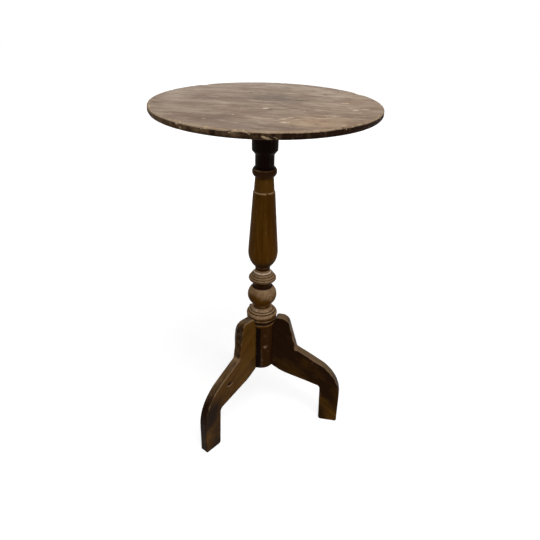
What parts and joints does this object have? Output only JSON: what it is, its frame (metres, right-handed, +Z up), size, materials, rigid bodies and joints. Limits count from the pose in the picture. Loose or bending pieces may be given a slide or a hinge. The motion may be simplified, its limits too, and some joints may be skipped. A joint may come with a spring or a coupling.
{
  "type": "lamp table",
  "caption": "Small round-topped pedestal table for a lamp: thin worn board on a turned column with a vase, ball and stepped mouldings, standing on flat S-shaped plank legs.",
  "frame": {"origin": "on the floor, under the axis of the column", "axes": "+Z up, along the column; +X from the column out along the right leg"},
  "size_m": [0.4129, 0.413, 0.714],
  "materials": {
    "top_wood": "worn, dull",
    "bearer_wood": "plain, unpolished",
    "column_wood": "worn dark varnish",
    "leg_wood": "worn dark varnish",
    "peg_wood": "bare end grain",
    "screw_iron": "dark, dull"
  },
  "bodies": {
    "root": {"table_top": "top_wood", "top_bearer": "bearer_wood", "bearer_screws": "screw_iron", "column": "column_wood", "tenon_wedge": "peg_wood", "leg_right": "leg_wood", "leg_back": "leg_wood", "leg_left": "leg_wood", "leg_pegs": "peg_wood"}
  },
  "joints": []
}
